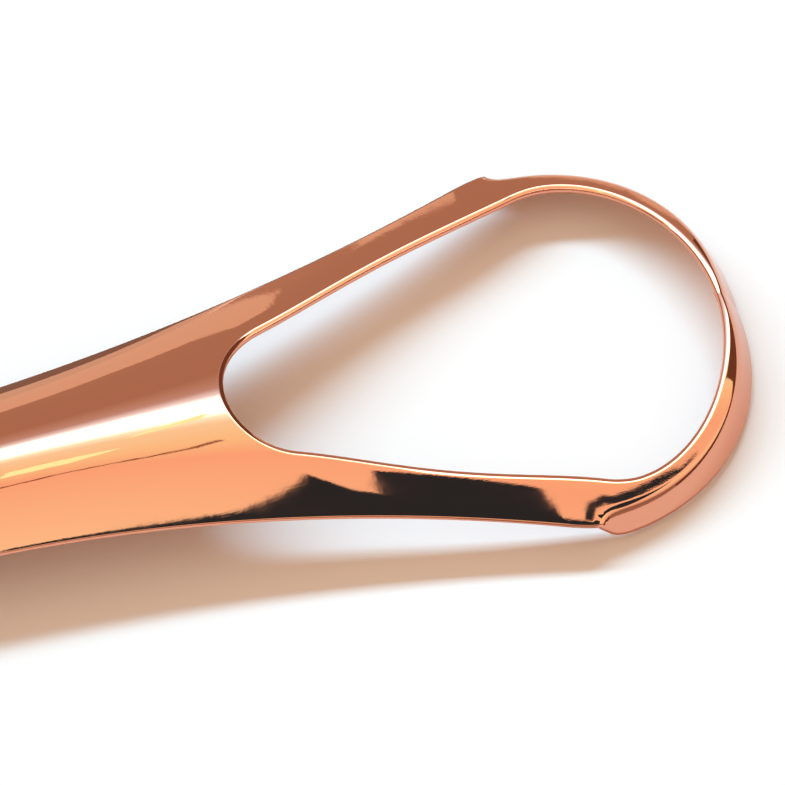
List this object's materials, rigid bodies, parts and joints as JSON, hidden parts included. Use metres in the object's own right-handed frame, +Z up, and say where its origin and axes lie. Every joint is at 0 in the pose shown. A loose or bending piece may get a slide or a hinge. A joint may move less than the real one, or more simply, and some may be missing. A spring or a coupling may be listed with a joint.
{
  "type": "tongue scraper",
  "caption": "One-piece pressed-steel tongue scraper: arched handle opening out into a teardrop loop with a turned-down scraping flange at its front.",
  "frame": {"origin": "middle of the footprint, on the table", "axes": "+X from the handle's tail to the front of the loop, +Y across, +Z up as it lies with the arch's crown up"},
  "size_m": [0.1446, 0.0442, 0.0103],
  "materials": {
    "polished_rose_gold_steel": "mirror-polished stainless steel with a rose-gold coating"
  },
  "bodies": {
    "root": {"scraper_body": "polished_rose_gold_steel"}
  },
  "joints": []
}
